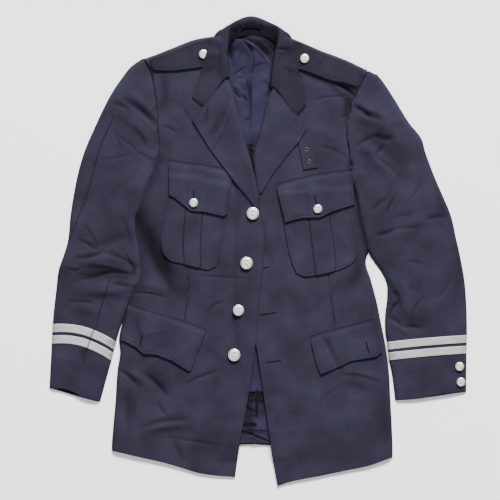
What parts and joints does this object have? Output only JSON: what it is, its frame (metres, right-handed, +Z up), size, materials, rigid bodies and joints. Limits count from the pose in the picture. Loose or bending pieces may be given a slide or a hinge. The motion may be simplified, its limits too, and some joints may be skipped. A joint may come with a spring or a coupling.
{
  "type": "fire service dress jacket",
  "caption": "Single-breasted wool dress jacket laid flat, with notch lapels, shoulder straps, flapped pockets, silver buttons and cuff braid.",
  "frame": {"origin": "under the middle of the whole outline, on the surface that the jacket lies on", "axes": "+X to the wearer's left, +Y from the hem to the collar, +Z up from the surface"},
  "size_m": [0.7285, 0.8188, 0.0191],
  "materials": {
    "wool_serge": "matte twill",
    "lining_satin": "satin",
    "silver_braid": "woven metallic",
    "silver_metal": "polished"
  },
  "bodies": {
    "root": {"back_left": "wool_serge", "back_right": "wool_serge", "badge_eyelet_lower": "silver_metal", "badge_eyelet_upper": "silver_metal", "badge_tab": "wool_serge", "braid_lower_left": "silver_braid", "braid_lower_right": "silver_braid", "braid_upper_left": "silver_braid", "braid_upper_right": "silver_braid", "breast_flap_left": "wool_serge", "breast_flap_right": "wool_serge", "breast_pocket_left": "wool_serge", "breast_pocket_right": "wool_serge", "collar": "wool_serge", "cuff_button_lower": "silver_metal", "cuff_button_upper": "silver_metal", "front_button_1": "silver_metal", "front_button_2": "silver_metal", "front_button_3": "silver_metal", "front_button_4": "silver_metal", "front_left": "wool_serge", "front_right": "wool_serge", "hanger_loop": "wool_serge", "hem_facing": "wool_serge", "hip_flap_left": "wool_serge", "hip_flap_right": "wool_serge", "lapel_left": "wool_serge", "lapel_right": "wool_serge", "lining_neck": "lining_satin", "lining_vent": "lining_satin", "pocket_button_left": "silver_metal", "pocket_button_right": "silver_metal", "strap_button_left": "silver_metal", "strap_button_right": "silver_metal", "strap_left": "wool_serge", "strap_right": "wool_serge", "top_sleeve_left": "wool_serge", "top_sleeve_right": "wool_serge", "under_sleeve_left": "wool_serge", "under_sleeve_right": "wool_serge"}
  },
  "joints": []
}
